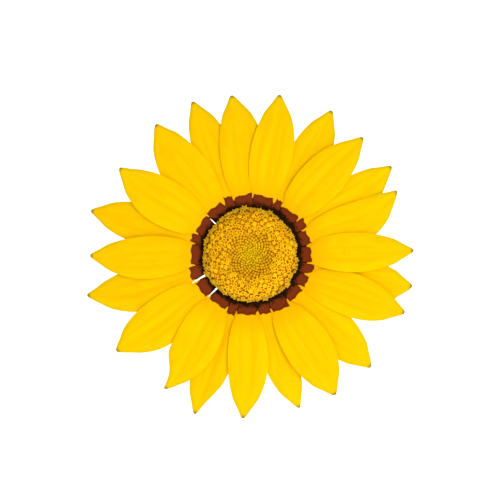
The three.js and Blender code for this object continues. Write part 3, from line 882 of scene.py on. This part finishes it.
def open_floret_material(colours):
    """Tubular corollas with waxy golden lobes, around anthers dusty with orange pollen."""
    material, tree = new_material("floret_corolla")
    part = add(tree, "Attribute", {}, attribute_name="part").outputs["Fac"]
    ramp = add(tree, "ValToRGB", {0: add(tree, "MapRange", {0: part, 1: 0, 2: 4})})
    stops = ramp.color_ramp.elements
    # The feet of the florets (part 0) and the core between them are painted in shade
    stops[0].color = (*colours.floret_shade, 1)
    stops[1].color = (*colours.pollen, 1)
    for place, colour in (
        (0.15, colours.floret_tube),
        (0.24, colours.floret),
        (0.38, colours.floret_tube),
        (0.52, colours.pollen),
        (0.75, colours.floret_tip),
    ):
        stops.new(place).color = (*colour, 1)
    toned = varied(tree, ramp, 0.86, 1.08)
    rim_share = add(tree, "MapRange", {0: face_radius(tree), 1: 9.4, 2: 11.2, 4: 0.6})
    rimmed = add(tree, "Mix", {0: rim_share, 6: toned, 7: colours.disc_rim}, data_type="RGBA")
    wax = {"Roughness": 0.65, "Specular IOR Level": 0.2, "Specular Tint": (1, 0.85, 0.3, 1)}
    shader = add(tree, "BsdfPrincipled", {"Base Color": rimmed, **wax})
    add(tree, "OutputMaterial", {"Surface": shader})
    return material


def bud_material(colours):
    """Closed buds: firm matt skin, olive-yellow on top, with painted shade between."""
    material, tree = new_material("floret_bud")
    part = add(tree, "Attribute", {}, attribute_name="part").outputs["Fac"]
    share = add(tree, "MapRange", {0: part, 1: 0.25, 2: 0.9}, interpolation_type="SMOOTHSTEP")
    outwards = add(tree, "MapRange", {0: face_radius(tree), 1: 0.8, 2: 4.2})
    top = add(tree, "Mix", {0: outwards, 6: colours.bud, 7: colours.bud_edge}, data_type="RGBA")
    # The depths between the buds are painted in shade, redder towards the open florets
    gap_shade = add(tree, "Mix", {0: outwards, 6: colours.bud_shade, 7: colours.outer_bud_gap_shade}, data_type="RGBA")
    warmed = add(tree, "Mix", {0: share, 6: gap_shade, 7: top}, data_type="RGBA")
    toned = varied(tree, warmed, 0.85, 1.15)
    matt = {"Roughness": 0.7, "Specular IOR Level": 0.1, "Specular Tint": (1, 0.9, 0.4, 1)}
    shader = add(tree, "BsdfPrincipled", {"Base Color": toned, **matt})
    add(tree, "OutputMaterial", {"Surface": shader})
    return material


# Hairs


def add_hairs(bm, feet, length, rng, tone_layer, tone):
    """Adds a fine three-sided hair at each foot: a place, its outward normal and its lean."""
    known = set(bm.verts)
    template = bmesh.new()
    bmesh.ops.create_cone(
        template, cap_ends=True, segments=3, radius1=HAIR_RADIUS, radius2=0, depth=1
    )
    bmesh.ops.translate(template, vec=(0, 0, 0.5 - HAIR_SINK), verts=template.verts)
    hair = bpy.data.meshes.new("hair")
    template.to_mesh(hair)
    template.free()
    for place, normal, lean in feet:
        out = (normal + lean * HAIR_LEAN).normalized()
        out += Vector([rng.uniform(-HAIR_SPREAD, HAIR_SPREAD) for _ in range(3)])
        turn = out.to_track_quat("Z", "Y").to_matrix().to_4x4()
        size = Matrix.Diagonal((1, 1, length * rng.uniform(*HAIR_SCALES), 1))
        copy = hair.copy()
        copy.transform(Matrix.Translation(place) @ turn @ size)
        bm.from_mesh(copy)
        bpy.data.meshes.remove(copy)
    bpy.data.meshes.remove(hair)
    for vert in bm.verts:
        if vert not in known:
            vert[tone_layer] = tone


# Cup of bracts


def bract_point(row, along, across):
    """A point of a bract tooth's middle surface, on the side of +X."""
    a, b, c = (Vector(p) for p in row["path"])
    p = a * (1 - along) ** 2 + b * 2 * along * (1 - along) + c * along**2
    half = row["half"] * (1 - along**BRACT_TAPER) + BRACT_TIP_HALF
    return Vector((p.x, across * half, p.y))


def add_bracts(bm, row, tone):
    """Adds one row of teeth: thin at the edges and keeled along the middle."""
    for number in range(row["count"]):
        turn = Matrix.Rotation(math.tau * (number + 0.5) / row["count"], 3, "Z")
        verts, outer = double_skin(bm, BRACT_ROWS, BRACT_COLUMNS)
        for vert in verts:
            along, across = vert.co.x + 0.5, vert.co.y * 2
            place = bract_point(row, along, across)
            keel = 0.5 + 0.5 * (1 - abs(across)) ** BRACT_KEEL
            half_thickness = BRACT_THICKNESS * keel * (1 - 0.5 * along) / 2
            place.z += half_thickness if vert in outer else -half_thickness
            vert.co = turn @ place
            vert[tone] = (along, across, 0)


def cup_hair_feet(count, rng):
    """Random places on the outside of the cup, with the outward normal there."""
    feet = []
    for _ in range(count):
        height = rng.uniform(*CUP_HAIR_ZONE)
        for (r0, z0), (r1, z1) in zip(CUP_PROFILE, CUP_PROFILE[1:]):
            if z0 <= height < z1:
                break
        radius = lerp(r0, r1, (height - z0) / (z1 - z0)) * CUP_HAIR_FOOT
        turn = Matrix.Rotation(rng.uniform(0, math.tau), 3, "Z")
        normal = Vector((z1 - z0, 0, r0 - r1)).normalized()
        feet.append((turn @ Vector((radius, 0, height)), turn @ normal, Vector((0, 0, 1))))
    return feet


class FLOWER_OT_cup(Operator):
    """Models the cup of joined bracts with its two rows of teeth"""

    bl_idname = "flower.cup"
    bl_label = "Cup of bracts"

    def execute(self, context):
        bm = bmesh.new()
        rng = random.Random(SEEDS["cup"])
        tone = bm.verts.layers.float_vector.new("bract")
        spun(bm, CUP_PROFILE, CUP_STEPS)
        long_edges = [e for e in bm.edges if abs(e.verts[0].co.z - e.verts[1].co.z) > LONG_RISE]
        bmesh.ops.subdivide_edges(bm, edges=long_edges, cuts=CUP_CUTS, use_grid_fill=True)
        for vert in bm.verts:
            bearing = math.atan2(vert.co.y, vert.co.x)
            seam = 1 - abs(math.sin(bearing * INNER_BRACTS["count"] / 2))
            height = smooth(-CUP_DEPTH, SEAMS_FROM, vert.co.z) * (vert.co.z < SEAMS_TO)
            vert.co.xy *= 1 - SEAM_DEPTH * height * seam**2
            vert[tone] = (0, 0, seam**3 * height)
        for row in (INNER_BRACTS, OUTER_BRACTS):
            add_bracts(bm, row, tone)
        sizes = context.scene.flower_sizes
        feet = cup_hair_feet(sizes.cup_hairs, rng)
        add_hairs(bm, feet, sizes.hair_length / MM, rng, tone, (HAIR_TONE, 0, 0))
        bmesh.ops.recalc_face_normals(bm, faces=bm.faces)
        bmesh.ops.transform(bm, matrix=HEAD, verts=bm.verts)
        skin = bract_material(context.scene.flower_colours)
        new_piece(context, "fine_cup", bm, skin, "involucre", "involucre", CUP_SHARP_ANGLE)
        return {"FINISHED"}


def bract_material(colours):
    """Leaf-green bract skin: waxy, finely veined, paler towards the thin edges."""
    material, tree = new_material("bract_skin")
    place = add(tree, "TexCoord", {}).outputs["Object"]
    mottle = add(tree, "TexNoise", {"Vector": place, "Scale": BRACT_MOTTLE / MM, "Detail": 4})
    light = add(tree, "MapRange", {0: mottle, 1: 0.3, 2: 0.7, 3: 0.75, 4: 1.2})
    skin = add(tree, "HueSaturation", {"Value": light, "Color": colours.bract})
    # A bract is paler at its thin edges and dry at its point; hairs are nearly white
    bract = add(tree, "Attribute", {}, attribute_name="bract").outputs["Vector"]
    along, across, seam = add(tree, "SeparateXYZ", {0: bract}).outputs
    aside = add(tree, "Math", {0: across}, operation="ABSOLUTE")
    edge_share = add(tree, "MapRange", {0: aside, 1: 0.6, 2: 1, 4: 0.7})
    edged = add(tree, "Mix", {0: edge_share, 6: skin, 7: colours.bract_edge}, data_type="RGBA")
    seam_share = add(tree, "Math", {0: seam, 1: 0.45}, operation="MULTIPLY", use_clamp=True)
    seamed = add(tree, "Mix", {0: seam_share, 6: edged, 7: colours.bract_seam}, data_type="RGBA")
    point_share = add(tree, "MapRange", {0: along, 1: 0.8, 2: 1, 4: 0.75})
    pointed = add(tree, "Mix", {0: point_share, 6: seamed, 7: colours.bract_point}, data_type="RGBA")
    hair_share = add(tree, "MapRange", {0: along, 1: 1.5, 2: 1.9})
    haired = add(tree, "Mix", {0: hair_share, 6: pointed, 7: colours.hair}, data_type="RGBA")
    bump = add(tree, "Bump", {"Strength": 0.4, "Distance": BRACT_BUMP * MM, "Height": mottle})
    wax = {"Roughness": 0.5, "Specular IOR Level": 0.35}
    shader = add(tree, "BsdfPrincipled", {"Base Color": haired, "Normal": bump, **wax})
    add(tree, "OutputMaterial", {"Surface": shader})
    return material


# Stalk


def stalk_path():
    """The stalk's axis as places, slopes and lengths, from the cup to beyond the cut."""
    start = HEAD_MM @ Vector((0, 0, STALK_SINK - CUP_DEPTH))
    rest = STALK_RADIUS * math.cos(math.pi / STALK_SIDES)
    fall = start.z - rest - NECK_LENGTH * math.sin(FACE_TILT)
    bend = fall / (1 - math.cos(FACE_TILT))
    bend_length = bend * FACE_TILT
    total = NECK_LENGTH + bend_length + LYING_LENGTH
    path = []
    for n in range(STALK_STEPS + 1):
        travelled = total * n / STALK_STEPS
        neck = min(travelled, NECK_LENGTH)
        slope = FACE_TILT - min(max((travelled - NECK_LENGTH) / bend, 0), FACE_TILT)
        lying = max(0, travelled - NECK_LENGTH - bend_length)
        back = neck * math.cos(FACE_TILT) + bend * (math.sin(FACE_TILT) - math.sin(slope)) + lying
        down = neck * math.sin(FACE_TILT) + bend * (math.cos(slope) - math.cos(FACE_TILT))
        path.append((start + Vector((0, back, -down)), slope, travelled))
    return path


def across_stalk(slope):
    """The turn that stands a ring from the XY plane across the stalk's axis."""
    return Matrix.Rotation(-math.pi / 2 - slope, 3, "X")


def extrude_stalk(bm, path, skin):
    """Extrudes the ribbed skin ring by ring along the axis."""
    made = bmesh.ops.create_circle(bm, cap_ends=True, radius=1, segments=STALK_ROUND)
    ring, cap = made["verts"], bm.faces[:]
    before, level = Vector(), Matrix.Identity(3)
    for number, (place, slope, travelled) in enumerate(path):
        if number:
            ring, cap = grown(bm, cap, number == 1)
        turn = across_stalk(slope)
        swell = 1 + NECK_SWELL * smooth(NECK_SWELL_END, 0, travelled)
        for vert in ring:
            flat = level @ (vert.co - before)
            angle = math.atan2(flat.y, flat.x)
            rib = math.cos(STALK_RIBS * angle)
            radius = STALK_RADIUS * swell * (SKIN_SHARE + RIB_SHARE * rib)
            vert.co = place + turn @ Vector((radius * math.cos(angle), radius * math.sin(angle), 0))
            vert[skin] = rib
        before, level = place, turn.inverted()


def cut_stalk(bm, end, skin):
    """Cuts the stalk off at a slant and closes it with sunken pith. Returns the pith's faces."""
    hinge = end - Vector((0, STALK_RADIUS, 0))
    normal = Vector((0, math.cos(CUT_ANGLE), math.sin(CUT_ANGLE)))
    whole = [*bm.verts, *bm.edges, *bm.faces]
    cut = bmesh.ops.bisect_plane(bm, geom=whole, plane_co=hinge, plane_no=normal, clear_outer=True)
    rim = [item for item in cut["geom_cut"] if isinstance(item, bmesh.types.BMVert)]
    bmesh.ops.remove_doubles(bm, verts=rim, dist=RIM_MERGE)
    rim = [edge for edge in bm.edges if edge.is_boundary]
    wound = bmesh.ops.edgeloop_fill(bm, edges=rim)["faces"]
    bmesh.ops.inset_region(bm, faces=wound, thickness=RIND, depth=-RIND / 3)
    wound = bmesh.ops.poke(bm, faces=wound)["faces"]
    for vert in {vert for face in wound for vert in face.verts}:
        vert[skin] = PITH_TONE
    return wound


def stalk_hair_feet(path, count, rng):
    """Random places on the stalk's skin but for the part that lies on the surface."""
    feet = []
    for _ in range(count):
        place, slope, _ = rng.choice(path[HAIRY_STEPS])
        bearing = rng.uniform(0, math.tau)
        turn = across_stalk(slope)
        normal = turn @ Vector((math.cos(bearing), math.sin(bearing), 0))
        shift = turn @ Vector((0, 0, rng.uniform(-STALK_HAIR_SHIFT, STALK_HAIR_SHIFT)))
        feet.append((place + normal * STALK_RADIUS * STALK_HAIR_FOOT + shift, normal, -shift))
    return [foot for foot in feet if foot[0].z > HAIR_FLOOR]


class FLOWER_OT_stalk(Operator):
    """Models the ribbed stalk and its slanted cut"""

    bl_idname = "flower.stalk"
    bl_label = "Stalk"

    def execute(self, context):
        bm = bmesh.new()
        rng = random.Random(SEEDS["stalk"])
        skin = bm.verts.layers.float.new("skin")
        path = stalk_path()
        extrude_stalk(bm, path, skin)
        wound = cut_stalk(bm, path[-1][0], skin)
        sizes = context.scene.flower_sizes
        feet = stalk_hair_feet(path, sizes.stalk_hairs, rng)
        add_hairs(bm, feet, sizes.hair_length / MM, rng, skin, HAIR_TONE)
        bmesh.ops.recalc_face_normals(bm, faces=bm.faces)
        bmesh.ops.scale(bm, vec=(MM, MM, MM), verts=bm.verts)
        for vert in bm.verts:
            vert.co.z = max(vert.co.z, 0)
        fresh = stalk_material(context.scene.flower_colours)
        new_piece(context, "fine_stalk", bm, fresh, "stalk", "stalk", STALK_SHARP_ANGLE, set(wound))
        return {"FINISHED"}


def stalk_material(colours):
    """Fresh stalk skin: smooth, slightly waxy and ribbed, paler on the ribs."""
    material, tree = new_material("stalk_skin")
    skin = add(tree, "Attribute", {}, attribute_name="skin").outputs["Fac"]
    place = add(tree, "TexCoord", {}).outputs["Object"]
    scale = tuple(waves / MM for waves in STALK_FIBRES)
    drawn = add(tree, "Mapping", {"Vector": place, "Scale": scale})
    fibres = add(tree, "TexNoise", {"Vector": drawn, "Scale": 1, "Detail": 3})
    light = add(tree, "MapRange", {0: skin, 1: -1, 2: 1, 3: 0.85, 4: 1.1})
    speck = add(tree, "MapRange", {0: fibres, 1: 0.3, 2: 0.7, 3: 0.85, 4: 1.15})
    both = add(tree, "Math", {0: light, 1: speck}, operation="MULTIPLY")
    toned = add(tree, "HueSaturation", {"Value": both, "Color": colours.stalk})
    hair_share = add(tree, "MapRange", {0: skin, 1: 1.3, 2: 1.8})
    haired = add(tree, "Mix", {0: hair_share, 6: toned, 7: colours.hair}, data_type="RGBA")
    pith_share = add(tree, "MapRange", {0: skin, 1: 2.6, 2: 3.4})
    cut = add(tree, "Mix", {0: pith_share, 6: haired, 7: colours.pith}, data_type="RGBA")
    wax = {"Roughness": 0.45, "Specular IOR Level": 0.4}
    shader = add(tree, "BsdfPrincipled", {"Base Color": cut, **wax})
    add(tree, "OutputMaterial", {"Surface": shader})
    return material


# Stage


def set_up(scene, name, data, place=Matrix()):
    """Puts an object of the stage in its place."""
    item = bpy.data.objects.new(name, data)
    item.matrix_world = place
    scene.collection.objects.link(item)
    return item


class FLOWER_OT_stage(Operator):
    """Sets the floor, the soft light and the camera"""

    bl_idname = "flower.stage"
    bl_label = "Stage"

    def execute(self, context):
        scene = context.scene
        bm = bmesh.new()
        bmesh.ops.create_grid(bm, x_segments=1, y_segments=1, size=FLOOR_SIZE / 2 * MM)
        mesh = bpy.data.meshes.new("floor")
        bm.to_mesh(mesh)
        bm.free()
        mesh.materials.append(floor_material(scene.flower_colours))
        set_up(scene, "floor", mesh)
        scene.world = bpy.data.worlds.new("studio")
        scene.world.use_nodes = True
        dome = scene.world.node_tree.nodes["Background"]
        dome.inputs["Strength"].default_value = DOME_LIGHT
        dome.inputs["Color"].default_value = WHITE
        key = bpy.data.lights.new("key", "AREA")
        key.shape = "DISK"
        key.size = KEY_SIZE * MM
        key.energy = KEY_POWER
        spot = HEAD @ Vector(KEY_PLACE)
        aim = (HEAD @ Vector() - spot).to_track_quat("-Z", "Y").to_matrix().to_4x4()
        set_up(scene, "key", key, Matrix.Translation(spot) @ aim)
        camera = bpy.data.cameras.new("camera")
        camera.lens = scene.flower_sizes.lens
        camera.sensor_width = SENSOR
        camera.clip_start, camera.clip_end = CAMERA_CLIP
        eye = HEAD @ Vector((CAMERA_SIDE, CAMERA_UP, CAMERA_DISTANCE))
        scene.camera = set_up(scene, "camera", camera, Matrix.Translation(eye) @ HEAD_TURN)
        scene.view_settings.view_transform = "Standard"
        scene.view_settings.look = "None"
        return {"FINISHED"}


def floor_material(colours):
    """A matt white photographic table, lit from below so that it shows no edge."""
    material, tree = new_material("table_white")
    place = add(tree, "TexCoord", {}).outputs["Object"]
    grain = add(tree, "TexNoise", {"Vector": place, "Scale": TABLE_GRAIN / MM})
    bump = add(tree, "Bump", {"Strength": 0.05, "Distance": TABLE_GRAIN_HEIGHT * MM, "Height": grain})
    matt = {"Base Color": colours.floor, "Roughness": 0.9, "Specular IOR Level": 0.1}
    glow = {"Emission Color": WHITE, "Emission Strength": FLOOR_GLOW}
    shader = add(tree, "BsdfPrincipled", {"Normal": bump, **matt, **glow})
    add(tree, "OutputMaterial", {"Surface": shader})
    return material


STEPS = (
    FLOWER_OT_stage,
    FLOWER_OT_rays,
    FLOWER_OT_open_florets,
    FLOWER_OT_buds,
    FLOWER_OT_cup,
    FLOWER_OT_stalk,
)


class FLOWER_PT_panel(Panel):
    """Lists the steps that build the flower"""

    bl_label = "Treasure flower"
    bl_space_type = "VIEW_3D"
    bl_region_type = "UI"
    bl_category = "Flower"

    def draw(self, context):
        for group in (context.scene.flower_sizes, context.scene.flower_colours):
            for name in group.__annotations__:
                self.layout.prop(group, name)
        for step in STEPS:
            self.layout.operator(step.bl_idname)


CLASSES = (FlowerColours, FlowerSizes, *STEPS, FLOWER_PT_panel)


def register():
    for cls in CLASSES:
        bpy.utils.register_class(cls)
    bpy.types.Scene.flower_colours = PointerProperty(type=FlowerColours)
    bpy.types.Scene.flower_sizes = PointerProperty(type=FlowerSizes)


def unregister():
    del bpy.types.Scene.flower_sizes
    del bpy.types.Scene.flower_colours
    for cls in reversed(CLASSES):
        bpy.utils.unregister_class(cls)


def main():
    register()
    bpy.ops.flower.stage()
    bpy.ops.flower.rays()
    bpy.ops.flower.open_florets()
    bpy.ops.flower.buds()
    bpy.ops.flower.cup()
    bpy.ops.flower.stalk()


if __name__ == "__main__":
    main()
